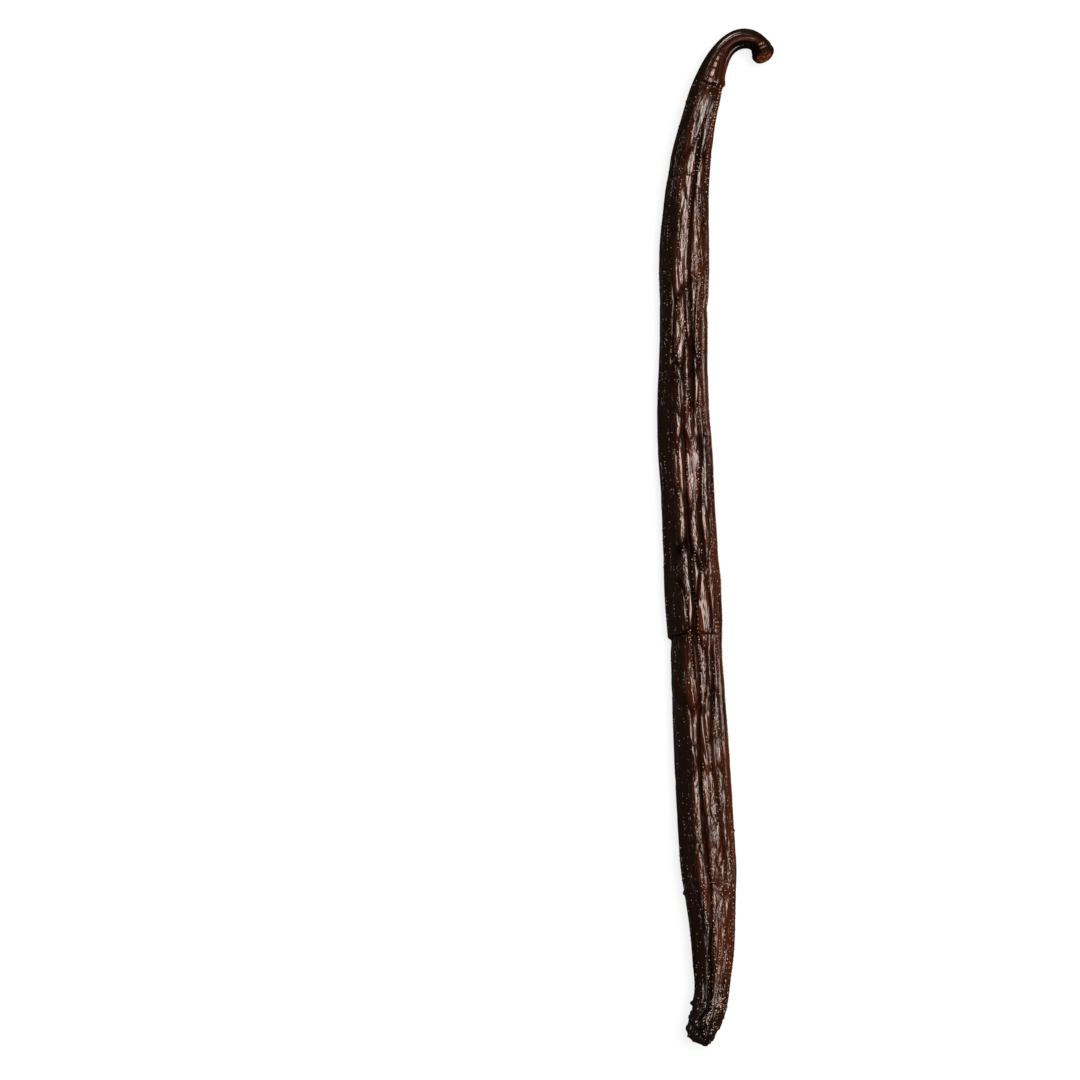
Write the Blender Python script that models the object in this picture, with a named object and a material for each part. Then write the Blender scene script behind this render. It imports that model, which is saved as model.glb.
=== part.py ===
"""A cured vanilla pod lying on a table: a long, soft, wrinkled tube.

The pod is one solid. Its middle line starts at the blossom end, runs along +Y and
curls round at the stem like a hook. Rings of points stand along that line, and
creases, pinches and swellings move those points in and out.
"""
import bmesh
import bpy
import numpy as np

MM = 0.001

# Driving dimensions, in millimetres and degrees.
# "Along" is measured on the middle line as seen from above, from the blossom end.
# "Round" is the angle about that line, from the top, clockwise seen from the blossom end.
LENGTH = 170.2
START_HEADING = 15.0

# Each bend of the middle line: where it starts, how long it is, how far it turns to +X,
# and how late in its length the turn comes (1 is even).
BENDS = {
    "blossom end": (3.2, 8.6, -14.0, 1.0),
    "waist": (10.0, 16.0, -5.3, 1.0),
    "belly": (29.0, 8.0, 1.2, 1.0),
    "sway": (98.0, 8.6, 3.6, 1.0),
    "shoulder": (123.7, 45.0, 22.2, 1.0),
    "hook": (149.2, 24.1, 211.6, 3.0),
    "stem end": (166.9, 4.9, -33.5, 1.0),
}

# Height of the middle line over the table: place, height.
HEIGHTS = (
    (0.0, 3.8),
    (13.0, 3.4),
    (28.0, 3.1),
    (140.0, 3.1),
    (151.0, 3.6),
    (158.0, 3.4),
    (165.0, 2.9),
    (170.2, 3.5),
)

# Girth along the pod: place, width, thickness.
GIRTH = (
    (3.6, 5.15, 4.0),
    (8.0, 5.6, 4.2),
    (14.0, 6.65, 4.8),
    (21.0, 7.7, 5.6),
    (28.0, 8.8, 6.4),
    (40.0, 8.95, 6.7),
    (50.0, 8.75, 6.6),
    (57.0, 8.65, 6.6),
    (63.5, 8.45, 6.5),
    (66.5, 8.8, 6.8),
    (80.0, 8.75, 6.8),
    (90.0, 8.6, 6.7),
    (95.0, 8.8, 6.7),
    (103.0, 8.3, 6.5),
    (110.0, 7.8, 6.4),
    (119.0, 7.8, 6.4),
    (124.5, 8.05, 6.4),
    (135.0, 7.2, 6.0),
    (143.0, 6.3, 5.3),
    (149.0, 5.4, 4.7),
    (153.4, 5.0, 4.4),
    (155.6, 4.5, 4.0),
    (158.0, 3.9, 3.6),
    (160.5, 3.3, 3.2),
    (164.0, 3.25, 3.1),
    (167.2, 3.15, 3.1),
    (168.8, 3.65, 3.6),
    (169.9, 3.55, 3.5),
    (170.2, 3.0, 2.9),
)
TIP_ROUNDING = 3.6
TIP_BLUNTNESS = 2.6

# The stem end is cut aslant: how much shorter the pod is on top and on its left, and
# where that begins.
CUT_SLANT = (1.25, 1.2)
CUT_SLANT_FROM = 165.0

# Each flat along the pod: first and last place, angle, half width round, and depth.
FLATS = (
    (6.0, 158.0, -50.0, 38.0, 0.40),
    (12.0, 150.0, 60.0, 26.0, 0.12),
)
FLAT_FADE = 16.0

# Each lengthwise crease: first and last place, angle round the pod, how far it wanders,
# the length of one wander, and its depth.
CREASES = (
    (2.0, 40.0, -6.0, -4.0, 36.0, 0.40),
    (28.5, 104.0, -3.0, -4.0, 47.0, 0.40),
    (20.0, 106.0, 33.0, 8.0, 36.0, 0.40),
    (96.0, 152.0, 17.0, 5.0, 41.0, 0.40),
    (8.0, 156.0, -76.0, 5.0, 63.0, 0.16),
    (2.0, 120.0, -112.0, 6.0, 52.0, 0.36),
    (50.0, 160.0, -140.0, 6.0, 44.0, 0.34),
    (10.0, 150.0, 67.0, 6.0, 57.0, 0.36),
    (4.0, 100.0, 109.0, 6.0, 49.0, 0.34),
    (82.0, 158.0, 122.0, 8.0, 38.0, 0.36),
    (20.0, 140.0, 146.0, 5.0, 66.0, 0.30),
    (150.0, 167.0, -20.0, 6.0, 14.0, 0.16),
    (150.0, 167.0, 50.0, 6.0, 17.0, 0.18),
)
CREASE_HALF_WIDTH = 17.0
CREASE_FADE = 7.0

# Each pinch across the pod: place, angle round the pod, how far it reaches round,
# its half width along the pod, and its depth. A negative depth swells.
PINCHES = (
    (65.0, -62.0, 70.0, 1.6, 0.14),
    (74.6, 82.0, 30.0, 2.0, -0.15),
    (139.4, -80.0, 45.0, 1.8, 0.14),
    (117.8, 70.0, 50.0, 1.6, 0.18),
    (100.0, 10.0, 40.0, 2.0, 0.16),
    (10.0, 60.0, 90.0, 3.0, 0.12),
    (153.9, 5.0, 60.0, 0.8, 0.10),
    (155.0, 84.0, 46.0, 0.7, -0.22),
    (1.4, -90.0, 26.0, 1.0, -0.25),
    (3.4, -88.0, 22.0, 1.0, -0.20),
    (6.6, -80.0, 24.0, 1.1, -0.15),
    (1.8, 84.0, 60.0, 2.4, 0.50),
)

# The underside is pressed flat where the pod lies. It has no creases within the first
# angle of the bottom, and all of them past the second.
SMOOTH_UNDERSIDE = 17.0
CREASED_SIDES = 51.0

# No crease or pinch goes deeper than this share of half the thickness.
DEEPEST_SHARE = 0.3

# Rings: first place, last place, step between rings.
RING_RUNS = (
    (0.0, 8.0, 0.75),
    (8.0, 62.0, 2.5),
    (62.0, 77.0, 1.25),
    (77.0, 147.0, 2.5),
    (147.0, 170.2, 0.85),
)
FIRST_RING = 0.09
POINTS_ROUND = 46

SKIN_COLOUR = (0.035, 0.014, 0.008)
SKIN_ROUGHNESS = 0.34
SMOOTH_UP_TO = np.radians(60.0)


def ease(amount):
    """Runs smoothly from 0 to 1 as amount does, and stays there outside it."""
    held = np.clip(amount, 0.0, 1.0)
    return held * held * (3.0 - 2.0 * held)


def through(places, values, at):
    """A smooth curve through values given at places."""
    slopes = np.gradient(values, places)
    last_span = len(places) - 2
    span = np.clip(np.searchsorted(places, at, side="right") - 1, 0, last_span)
    step = places[span + 1] - places[span]
    part = np.clip((at - places[span]) / step, 0.0, 1.0)
    rise = values[span + 1] - values[span]
    leaving = slopes[span] * step
    arriving = slopes[span + 1] * step
    curve = (leaving + arriving - 2.0 * rise) * part
    curve = (curve + 3.0 * rise - 2.0 * leaving - arriving) * part
    return values[span] + (curve + leaving) * part


def heading(along):
    """Direction of the middle line from above, in radians from +Y towards +X."""
    turned = np.full_like(along, START_HEADING)
    for start, length, turn, lateness in BENDS.values():
        turned += turn * ease((along - start) / length) ** lateness
    return np.radians(turned)


def middle_line(along):
    """Points of the middle line, in millimetres."""
    fine = np.linspace(0.0, LENGTH, 2001)
    step = fine[1] - fine[0]
    mid_heading = heading(0.5 * (fine[1:] + fine[:-1]))
    x = np.concatenate(([0.0], np.cumsum(np.sin(mid_heading)) * step))
    y = np.concatenate(([0.0], np.cumsum(np.cos(mid_heading)) * step))
    places, heights = np.array(HEIGHTS).T
    z = through(places, heights, along)
    return np.stack((np.interp(along, fine, x), np.interp(along, fine, y), z), axis=-1)


def cross_frame(along):
    """Unit vectors across the pod: sideways to its right, and up."""
    nudge = 0.02
    forward = middle_line(along + nudge) - middle_line(along - nudge)
    forward /= np.linalg.norm(forward, axis=-1, keepdims=True)
    side = np.stack((np.cos(heading(along)), -np.sin(heading(along)), 0.0 * along), axis=-1)
    return side, np.cross(side, forward)


def half_sizes(along):
    """Half the width and half the thickness of the pod."""
    places, widths, depths = np.array(GIRTH).T
    from_tip = np.clip(along / TIP_ROUNDING, 0.0, 1.0)
    rounding = (1.0 - (1.0 - from_tip) ** TIP_BLUNTNESS) ** (1.0 / TIP_BLUNTNESS)
    half_width = 0.5 * rounding * through(places, widths, along)
    half_depth = 0.5 * rounding * through(places, depths, along)
    return half_width, half_depth


def apart(angle, other):
    """Difference between two angles, in degrees, from -180 to 180."""
    return (angle - other + 180.0) % 360.0 - 180.0


def creasing(along, angle):
    """Depth of the lengthwise creases: sharp at the bottom, round at the shoulders."""
    depth = np.zeros_like(along)
    for first, last, middle, wander, wave, deepest in CREASES:
        path = middle + wander * np.sin(2.0 * np.pi * (along - first) / wave)
        near = np.clip(1.0 - np.abs(apart(angle, path)) / CREASE_HALF_WIDTH, 0.0, 1.0)
        fade = ease((along - first) / CREASE_FADE) * ease((last - along) / CREASE_FADE)
        depth += deepest * fade * near**2
    from_bottom = np.abs(apart(angle, 180.0)) - SMOOTH_UNDERSIDE
    return depth * ease(from_bottom / (CREASED_SIDES - SMOOTH_UNDERSIDE))


def pinching(along, angle):
    """Depth of the pinches across the pod, less the swellings.

    A pinch is full up to half its reach round the pod, and gone at one and a half.
    """
    depth = np.zeros_like(along)
    for place, middle, reach, half_width, deepest in PINCHES:
        near = np.exp(-(((along - place) / half_width) ** 2))
        beyond = np.abs(apart(angle, middle)) / reach - 0.5
        depth += deepest * near * (1.0 - ease(beyond))
    return depth


def flattening(along, angle):
    """Depth of the flats along the pod, which turn its round section into a blunt corner."""
    depth = np.zeros_like(along)
    for first, last, middle, half_width, deepest in FLATS:
        near = ease(1.0 - np.abs(apart(angle, middle)) / half_width)
        fade = ease((along - first) / FLAT_FADE) * ease((last - along) / FLAT_FADE)
        depth += deepest * fade * near
    return depth


def set_back(along, turned):
    """How far the slanting cut moves a point back along the pod."""
    top, left = CUT_SLANT
    most = 0.5 * top * (1.0 + np.cos(turned)) + 0.5 * left * (1.0 - np.sin(turned))
    return most * ease((along - CUT_SLANT_FROM) / (LENGTH - CUT_SLANT_FROM))


def pod_surface(along, angle):
    """Points of the pod's skin, in millimetres, with z = 0 as the table."""
    half_width, half_depth = half_sizes(along)
    inward = creasing(along, angle) + pinching(along, angle) + flattening(along, angle)
    inward = np.minimum(inward, DEEPEST_SHARE * half_depth)
    side, up = cross_frame(along)
    turned = np.radians(angle)
    across = ((half_width - inward) * np.sin(turned))[..., None]
    above = ((half_depth - inward) * np.cos(turned))[..., None]
    points = middle_line(along - set_back(along, turned)) + across * side + above * up
    points[..., 2] = np.maximum(points[..., 2], 0.0)
    return points


def ring_places():
    """Where the rings of points stand along the pod."""
    runs = [np.arange(first, last, step) for first, last, step in RING_RUNS]
    places = np.concatenate(runs + [[LENGTH]])
    places[0] = FIRST_RING
    return places


def skinned(name, rings, tip, stem):
    """A closed mesh from rings of points, shut at a tip point and a stem point."""
    shape = bmesh.new()
    loops = [[shape.verts.new(point) for point in ring] for ring in rings]
    ends = (shape.verts.new(tip), shape.verts.new(stem))
    count = len(loops[0])
    for ring, after in zip(loops, loops[1:]):
        for i in range(count):
            j = (i + 1) % count
            shape.faces.new((ring[i], ring[j], after[j], after[i]))
    for i in range(count):
        j = (i + 1) % count
        shape.faces.new((loops[0][j], loops[0][i], ends[0]))
        shape.faces.new((loops[-1][i], loops[-1][j], ends[1]))
    bmesh.ops.triangulate(shape, faces=shape.faces[:])
    bmesh.ops.recalc_face_normals(shape, faces=shape.faces[:])
    mesh = bpy.data.meshes.new(name)
    shape.to_mesh(mesh)
    shape.free()
    mesh.shade_smooth()
    mesh.set_sharp_from_angle(angle=SMOOTH_UP_TO)
    return mesh


def make_pod():
    """The pod, with the middle of its box on the table at the origin."""
    places = ring_places()
    angles = np.linspace(0.0, 360.0, POINTS_ROUND, endpoint=False)
    along, angle = np.meshgrid(places, angles, indexing="ij")
    rings = pod_surface(along, angle)
    tip = middle_line(np.array(0.0))
    stem = rings[-1].mean(axis=0)
    low = rings.min(axis=(0, 1))
    high = rings.max(axis=(0, 1))
    origin = np.array([0.5 * (low[0] + high[0]), 0.5 * (low[1] + high[1]), low[2]])
    rings = (rings - origin) * MM
    mesh = skinned("pod", rings, (tip - origin) * MM, (stem - origin) * MM)
    pod = bpy.data.objects.new("pod", mesh)
    bpy.context.scene.collection.objects.link(pod)
    return pod


def skin_material():
    """Dark brown, moist and a little glossy."""
    material = bpy.data.materials.new("pod_skin")
    material.use_nodes = True
    shader = material.node_tree.nodes["Principled BSDF"]
    shader.inputs["Base Color"].default_value = (*SKIN_COLOUR, 1.0)
    shader.inputs["Roughness"].default_value = SKIN_ROUGHNESS
    shader.inputs["Metallic"].default_value = 0.0
    return material


for old in list(bpy.data.objects):
    bpy.data.objects.remove(old, do_unlink=True)
make_pod().data.materials.append(skin_material())
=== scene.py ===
"""The looks of a cured vanilla pod: oily, wrinkled skin, on a white table in soft light.

The skin repeats the solid's own shape, with the same named sizes, and adds the fine
relief: leaf-shaped wrinkles, slits, ledges, warts and tiny beads of oil.
"""

import bmesh
import bpy
import numpy as np
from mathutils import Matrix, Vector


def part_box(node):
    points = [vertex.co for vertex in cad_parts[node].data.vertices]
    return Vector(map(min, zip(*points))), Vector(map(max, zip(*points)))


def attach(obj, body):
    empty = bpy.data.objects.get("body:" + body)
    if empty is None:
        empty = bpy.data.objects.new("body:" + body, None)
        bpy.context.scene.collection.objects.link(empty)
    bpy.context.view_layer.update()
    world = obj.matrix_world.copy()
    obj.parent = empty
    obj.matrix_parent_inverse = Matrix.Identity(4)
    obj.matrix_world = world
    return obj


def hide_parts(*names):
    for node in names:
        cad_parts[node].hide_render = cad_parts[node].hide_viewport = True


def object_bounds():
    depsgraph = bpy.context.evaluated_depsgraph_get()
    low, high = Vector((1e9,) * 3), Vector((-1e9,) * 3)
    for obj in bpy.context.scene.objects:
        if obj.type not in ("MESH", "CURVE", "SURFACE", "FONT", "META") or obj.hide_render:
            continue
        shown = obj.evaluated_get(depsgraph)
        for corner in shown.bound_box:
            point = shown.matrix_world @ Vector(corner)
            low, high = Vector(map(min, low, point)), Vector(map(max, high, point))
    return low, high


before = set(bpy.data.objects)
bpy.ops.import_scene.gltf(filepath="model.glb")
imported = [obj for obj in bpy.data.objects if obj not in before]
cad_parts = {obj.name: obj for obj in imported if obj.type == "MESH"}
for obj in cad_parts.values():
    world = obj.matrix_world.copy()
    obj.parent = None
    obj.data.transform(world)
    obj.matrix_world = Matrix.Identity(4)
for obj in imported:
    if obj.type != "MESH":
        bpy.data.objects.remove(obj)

CAD_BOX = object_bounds()

MM = 0.001

# ---------------------------------------------------------------------------
# Sizes of the solid, in millimetres and degrees.
# "Along" is measured on the middle line as seen from above, from the blossom end.
# "Round" is the angle about that line, from the top, clockwise seen from the blossom end.
LENGTH = 170.2
START_HEADING = 15.0

# Each bend of the middle line: where it starts, how long it is, how far it turns to +X,
# and how late in its length the turn comes (1 is even).
BENDS = {
    "blossom end": (3.2, 8.6, -14.0, 1.0),
    "waist": (10.0, 16.0, -5.3, 1.0),
    "belly": (29.0, 8.0, 1.2, 1.0),
    "sway": (98.0, 8.6, 3.6, 1.0),
    "shoulder": (123.7, 45.0, 22.2, 1.0),
    "hook": (149.2, 24.1, 211.6, 3.0),
    "stem end": (166.9, 4.9, -33.5, 1.0),
}

# Height of the middle line over the table: place, height.
HEIGHTS = (
    (0.0, 3.8),
    (13.0, 3.4),
    (28.0, 3.1),
    (140.0, 3.1),
    (151.0, 3.6),
    (158.0, 3.4),
    (165.0, 2.9),
    (170.2, 3.5),
)

# Girth along the pod: place, width, thickness.
GIRTH = (
    (3.6, 5.15, 4.0),
    (8.0, 5.6, 4.2),
    (14.0, 6.65, 4.8),
    (21.0, 7.7, 5.6),
    (28.0, 8.8, 6.4),
    (40.0, 8.95, 6.7),
    (50.0, 8.75, 6.6),
    (57.0, 8.65, 6.6),
    (63.5, 8.45, 6.5),
    (66.5, 8.8, 6.8),
    (80.0, 8.75, 6.8),
    (90.0, 8.6, 6.7),
    (95.0, 8.8, 6.7),
    (103.0, 8.3, 6.5),
    (110.0, 7.8, 6.4),
    (119.0, 7.8, 6.4),
    (124.5, 8.05, 6.4),
    (135.0, 7.2, 6.0),
    (143.0, 6.3, 5.3),
    (149.0, 5.4, 4.7),
    (153.4, 5.0, 4.4),
    (155.6, 4.5, 4.0),
    (158.0, 3.9, 3.6),
    (160.5, 3.3, 3.2),
    (164.0, 3.25, 3.1),
    (167.2, 3.15, 3.1),
    (168.8, 3.65, 3.6),
    (169.9, 3.55, 3.5),
    (170.2, 3.0, 2.9),
)
TIP_ROUNDING = 3.6
TIP_BLUNTNESS = 2.6

# The stem end is cut aslant: how much shorter the pod is on top and on its left, and
# where that begins.
CUT_SLANT = (1.25, 1.2)
CUT_SLANT_FROM = 165.0

# Each flat along the pod: first and last place, angle, half width round, and depth.
FLATS = (
    (6.0, 158.0, -50.0, 38.0, 0.40),
    (12.0, 150.0, 60.0, 26.0, 0.12),
)
FLAT_FADE = 16.0

# Each lengthwise crease: first and last place, angle round the pod, how far it wanders,
# the length of one wander, and its depth.
CREASES = (
    (2.0, 40.0, -6.0, -4.0, 36.0, 0.40),
    (28.5, 104.0, -3.0, -4.0, 47.0, 0.40),
    (20.0, 106.0, 33.0, 8.0, 36.0, 0.40),
    (96.0, 152.0, 17.0, 5.0, 41.0, 0.40),
    (8.0, 156.0, -76.0, 5.0, 63.0, 0.16),
    (2.0, 120.0, -112.0, 6.0, 52.0, 0.36),
    (50.0, 160.0, -140.0, 6.0, 44.0, 0.34),
    (10.0, 150.0, 67.0, 6.0, 57.0, 0.36),
    (4.0, 100.0, 109.0, 6.0, 49.0, 0.34),
    (82.0, 158.0, 122.0, 8.0, 38.0, 0.36),
    (20.0, 140.0, 146.0, 5.0, 66.0, 0.30),
    (150.0, 167.0, -20.0, 6.0, 14.0, 0.16),
    (150.0, 167.0, 50.0, 6.0, 17.0, 0.18),
)
CREASE_HALF_WIDTH = 17.0
CREASE_FADE = 7.0

# Each pinch across the pod: place, angle round the pod, how far it reaches round,
# its half width along the pod, and its depth. A negative depth swells.
PINCHES = (
    (65.0, -62.0, 70.0, 1.6, 0.14),
    (74.6, 82.0, 30.0, 2.0, -0.15),
    (139.4, -80.0, 45.0, 1.8, 0.14),
    (117.8, 70.0, 50.0, 1.6, 0.18),
    (100.0, 10.0, 40.0, 2.0, 0.16),
    (10.0, 60.0, 90.0, 3.0, 0.12),
    (153.9, 5.0, 60.0, 0.8, 0.10),
    (155.0, 84.0, 46.0, 0.7, -0.22),
    (1.4, -90.0, 26.0, 1.0, -0.25),
    (3.4, -88.0, 22.0, 1.0, -0.20),
    (6.6, -80.0, 24.0, 1.1, -0.15),
    (1.8, 84.0, 60.0, 2.4, 0.50),
)

# The underside is pressed flat where the pod lies. It has no creases within the first
# angle of the bottom, and all of them past the second.
SMOOTH_UNDERSIDE = 17.0
CREASED_SIDES = 51.0

# No crease or pinch goes deeper than this share of half the thickness.
DEEPEST_SHARE = 0.3

# ---------------------------------------------------------------------------
# Fine relief of the skin, in millimetres.
SEED = 7
FULL_HALF_WIDTH = 4.4

# Rings of the fine skin stand this far apart, and closer near the fine spots: place,
# how far the spot reaches, and the step there.
RING_STEP = 0.31
FINE_SPOTS = (
    (4.0, 7.0, 0.16),
    (64.9, 3.0, 0.17),
    (156.0, 4.0, 0.18),
    (167.0, 5.0, 0.18),
)
FIRST_RING = 0.05

# Points of a ring, how much closer they stand on top, and how many rings the cut has.
POINTS_ROUND = 156
CROWDED_ON_TOP = 0.45
FACE_RINGS = 9

# Gentle unevenness: how many waves fit round the pod, their length, and their height.
SWELLS = (
    (4, 14.0, 0.05),
    (8, 7.0, 0.07),
)

# Leaf-shaped wrinkles: how many fit round the pod, their length, and how much each one
# bulges, leans to one side, and is grooved round its edge.
LEAVES = (
    (11, 11.0, 0.20, 0.60, 0.24),
    (19, 6.0, 0.13, 0.34, 0.16),
    (31, 3.4, 0.03, 0.08, 0.04),
)
LEAF_EDGE = 0.36
LEAF_DRIFT = 0.9

# The wrinkles are full on one side of the pod, near an angle, and calmer past it.
WRINKLED_SIDE = 8.0
WRINKLED_UP_TO = 34.0
CALM_FROM = 66.0
CALM_SHARE = 0.25

# The bottom of each lengthwise crease is a narrow slit, painted black as shade.
SLIT_HALF_WIDTH = 4.2
SLIT_DEPTH = 0.34

# The neck is smooth past this place. Fine threads run along its arch: how many fit round
# it, their length and height, the place and angle of their middle, and their reaches.
SMOOTH_FROM = 150.0
SMOOTH_FADE = 5.0
SMOOTH_SHARE = 0.25
THREADS = (22, 16.0, 0.15)
THREADS_MIDDLE = (162.0, -14.0)
THREADS_REACH = (2.9, 36.0)

# Each ledge across the pod, where the skin on the stem side laps over the other: place,
# how far it climbs in one turn, angle, reach round, and height.
PUCKERED_LEDGE = 65.7
LEDGES = (
    (154.3, 4.5, 66.0, 50.0, 0.08),
    (154.0, 1.0, 2.0, 40.0, 0.10),
    (PUCKERED_LEDGE, 4.0, -66.0, 56.0, 0.24),
    (65.9, -5.0, 34.0, 34.0, 0.09),
    (139.8, 3.0, -10.0, 36.0, 0.06),
    (117.6, 4.0, 55.0, 30.0, 0.06),
    (75.4, 3.0, 60.0, 26.0, 0.06),
    (24.8, -2.0, 20.0, 34.0, 0.05),
)
# Under a ledge the skin is painted dark as shade, fully where the ledge is this high.
LEDGE_FULL_SHADE = 0.12
LEDGE_SHARPNESS = 0.13
LEDGE_REACH = 1.6
LEDGE_WANDER = 0.60

# Warts: place, angle, radius, height.
WARTS = (
    (6.2, -88.0, 0.34, 0.40),
    (3.9, -88.0, 0.24, 0.22),
    (2.0, -70.0, 0.56, 0.26),
    (2.0, -92.0, 0.50, 0.24),
    (0.8, -88.0, 0.22, 0.30),
    (0.3, -60.0, 0.30, 0.14),
    (0.15, -20.0, 0.34, 0.10),
    (0.17, 71.5, 0.42, 0.36),
    (0.7, 62.0, 0.30, 0.30),
    (1.2, 88.0, 0.30, 0.20),
    (3.7, 76.0, 0.28, 0.16),
    (5.0, 78.0, 0.24, 0.10),
    (3.6, 1.0, 0.46, 0.34),
    (2.9, -50.0, 0.50, 0.26),
    (2.2, 34.0, 0.46, 0.22),
    (5.4, -54.0, 0.42, 0.18),
    (24.6, -88.0, 0.32, 0.30),
    (34.1, 86.0, 0.28, 0.16),
    (150.6, -84.0, 0.28, 0.10),
)

# Small warts scattered over the blossom end: how many, how far along, their least and
# largest radius, and their height as a share of it.
TIP_WARTS = 34
TIP_WARTS_REACH = 9.0
TIP_WART_RADIUS = (0.20, 0.42)
TIP_WART_RISE = 0.55

# How dark, as painted shade, and how dull the hollows between these warts are, from 0 to 1, and how
# deep a full one is.
TIP_HOLLOWS = 0.8
TIP_HOLLOW_DEPTH = 0.16
TIP_WARTS_FADE = 3.0

# Folds, which may run aslant: place, angle, half length, half width, tilt and height.
# A negative height is a groove.
FOLDS = (
    (4.4, -13.5, 1.0, 0.20, 27.0, 0.24),
    (4.3, -33.0, 1.0, 0.20, 24.0, 0.18),
    (3.0, 14.0, 0.8, 0.18, 52.0, 0.20),
    (3.4, 25.5, 0.4, 0.15, -14.0, 0.14),
    (7.7, -34.5, 1.4, 0.22, -2.0, 0.14),
    (9.4, -36.0, 1.2, 0.18, -4.0, 0.12),
    (6.2, 12.0, 1.0, 0.16, 14.0, 0.10),
    (6.9, 30.0, 1.1, 0.16, 10.0, 0.10),
    (4.8, -21.0, 1.7, 0.20, 26.0, -0.34),
    (7.6, -9.5, 2.0, 0.22, -2.0, -0.34),
    (2.9, 20.0, 0.6, 0.32, 20.0, -0.28),
    (15.5, 9.0, 3.0, 0.50, 3.0, 0.12),
    (11.0, 17.0, 2.2, 0.42, -4.0, 0.12),
    (13.0, 38.0, 2.6, 0.34, 6.0, 0.08),
    (1.9, -34.0, 0.5, 0.26, 60.0, -0.22),
    (156.95, -5.0, 0.9, 0.26, 84.0, -0.11),
    (158.15, -4.0, 0.8, 0.22, 96.0, -0.11),
    (155.4, -8.0, 0.8, 0.30, 88.0, -0.10),
    (159.1, -5.0, 0.6, 0.20, 82.0, -0.09),
    (159.7, -2.0, 0.7, 0.16, 60.0, -0.16),
    (157.4, 15.0, 2.6, 0.16, -9.0, -0.26),
    (157.4, 20.0, 2.4, 0.10, -9.0, 0.07),
    (157.6, 62.0, 3.0, 0.14, -3.0, -0.14),
    (153.6, 20.0, 0.8, 0.14, 40.0, -0.12),
    (153.4, -10.0, 0.7, 0.14, -30.0, -0.10),
    (168.8, 0.0, 9.0, 0.20, 90.0, -0.14),
)

# Puckers fan out both ways from the middle of a ledge. For each fan: its place and
# angle, how many puckers it has, how far round they spread, and their half length, half
# width and height.
PUCKERS = (
    (66.4, -4.0, 13, 56.0, 1.5, 0.15, 0.11),
    (63.4, 2.0, 11, 50.0, 1.4, 0.15, 0.10),
)
PUCKER_FAN = 0.35

# The star-shaped scar at the blossom end: place, angle, radius of its folds, their
# number and their height.
SCAR = (2.0, -16.0, 1.15, 5, 0.46)

# The cut stem end is sunk inside its rim, and ragged: how deep, the rim's width as a
# share of its radius, and how far the face strays.
CUT_SUNK = 0.16
CUT_RIM = 0.35
CUT_RAGGED = 0.09

# Beads of dried oil: rows round the pod, and the runs, gaps and breaks of each row. A
# bead has a radius, strays some degrees from its row, and is sunk past its half by a
# share of its radius. None lies further round than the lowest angle.
BEAD_ROWS = 34
BEAD_RUN = (2.0, 9.0)
BEAD_SPACING = (0.42, 0.95)
BEAD_BREAK = (2.0, 11.0)
BEAD_RADIUS = (0.06, 0.12)
BEAD_STRAY = 1.2
BEAD_SUNK = 0.2
BEAD_LOWEST_ANGLE = 100.0
BEADS_END = LENGTH - 16.4

# Each row sways this many degrees, in waves this many millimetres long.
BEAD_SWAY = 4.0
BEAD_WAVE = 16.0 * np.pi

# The pod's left side past this angle is near black, painted as shade; fewer of its beads lie there,
# and their paleness is lowered by the last share, as painted shade.
DARK_SIDE = -22.0
BEADS_ON_DARK = 0.45
BEAD_PALENESS_IN_SHADE = 0.28

# Larger beads at the blossom end: place, angle and radius.
BIG_BEADS = (
    (3.75, 0.0, 0.14),
    (3.50, 3.0, 0.12),
    (3.90, -3.0, 0.10),
    (5.9, 23.0, 0.13),
    (7.4, 31.0, 0.13),
)

# Bunches of beads: place, angle, spread round the pod, reach along it, and number.
BEAD_BUNCHES = (
    (24.5, 0.0, 62.0, 2.6, 42),
    (6.9, 14.0, 26.0, 1.1, 22),
    (6.8, 52.0, 18.0, 1.0, 12),
    (8.6, 30.0, 40.0, 2.0, 18),
    (11.5, -26.0, 50.0, 3.0, 34),
    (66.0, 10.0, 60.0, 2.0, 12),
    (151.5, 20.0, 60.0, 2.0, 16),
    (154.9, 0.0, 34.0, 0.4, 10),
    (3.6, 0.0, 70.0, 2.6, 16),
    (6.9, -40.0, 30.0, 0.6, 12),
    (120.0, -20.0, 60.0, 5.0, 14),
)


def ease(amount):
    """Runs smoothly from 0 to 1 as amount does, and stays there outside it."""
    held = np.clip(amount, 0.0, 1.0)
    return held * held * (3.0 - 2.0 * held)


def through(places, values, at):
    """A smooth curve through values given at places."""
    slopes = np.gradient(values, places)
    last_span = len(places) - 2
    span = np.clip(np.searchsorted(places, at, side="right") - 1, 0, last_span)
    step = places[span + 1] - places[span]
    part = np.clip((at - places[span]) / step, 0.0, 1.0)
    rise = values[span + 1] - values[span]
    leaving = slopes[span] * step
    arriving = slopes[span + 1] * step
    curve = (leaving + arriving - 2.0 * rise) * part
    curve = (curve + 3.0 * rise - 2.0 * leaving - arriving) * part
    return values[span] + (curve + leaving) * part


def heading(along):
    """Direction of the middle line from above, in radians from +Y towards +X."""
    turned = np.full_like(along, START_HEADING)
    for start, length, turn, lateness in BENDS.values():
        turned += turn * ease((along - start) / length) ** lateness
    return np.radians(turned)


def middle_line(along):
    """Points of the middle line, in millimetres."""
    fine = np.linspace(0.0, LENGTH, 2001)
    step = fine[1] - fine[0]
    mid_heading = heading(0.5 * (fine[1:] + fine[:-1]))
    x = np.concatenate(([0.0], np.cumsum(np.sin(mid_heading)) * step))
    y = np.concatenate(([0.0], np.cumsum(np.cos(mid_heading)) * step))
    places, heights = np.array(HEIGHTS).T
    z = through(places, heights, along)
    return np.stack((np.interp(along, fine, x), np.interp(along, fine, y), z), axis=-1)


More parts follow.
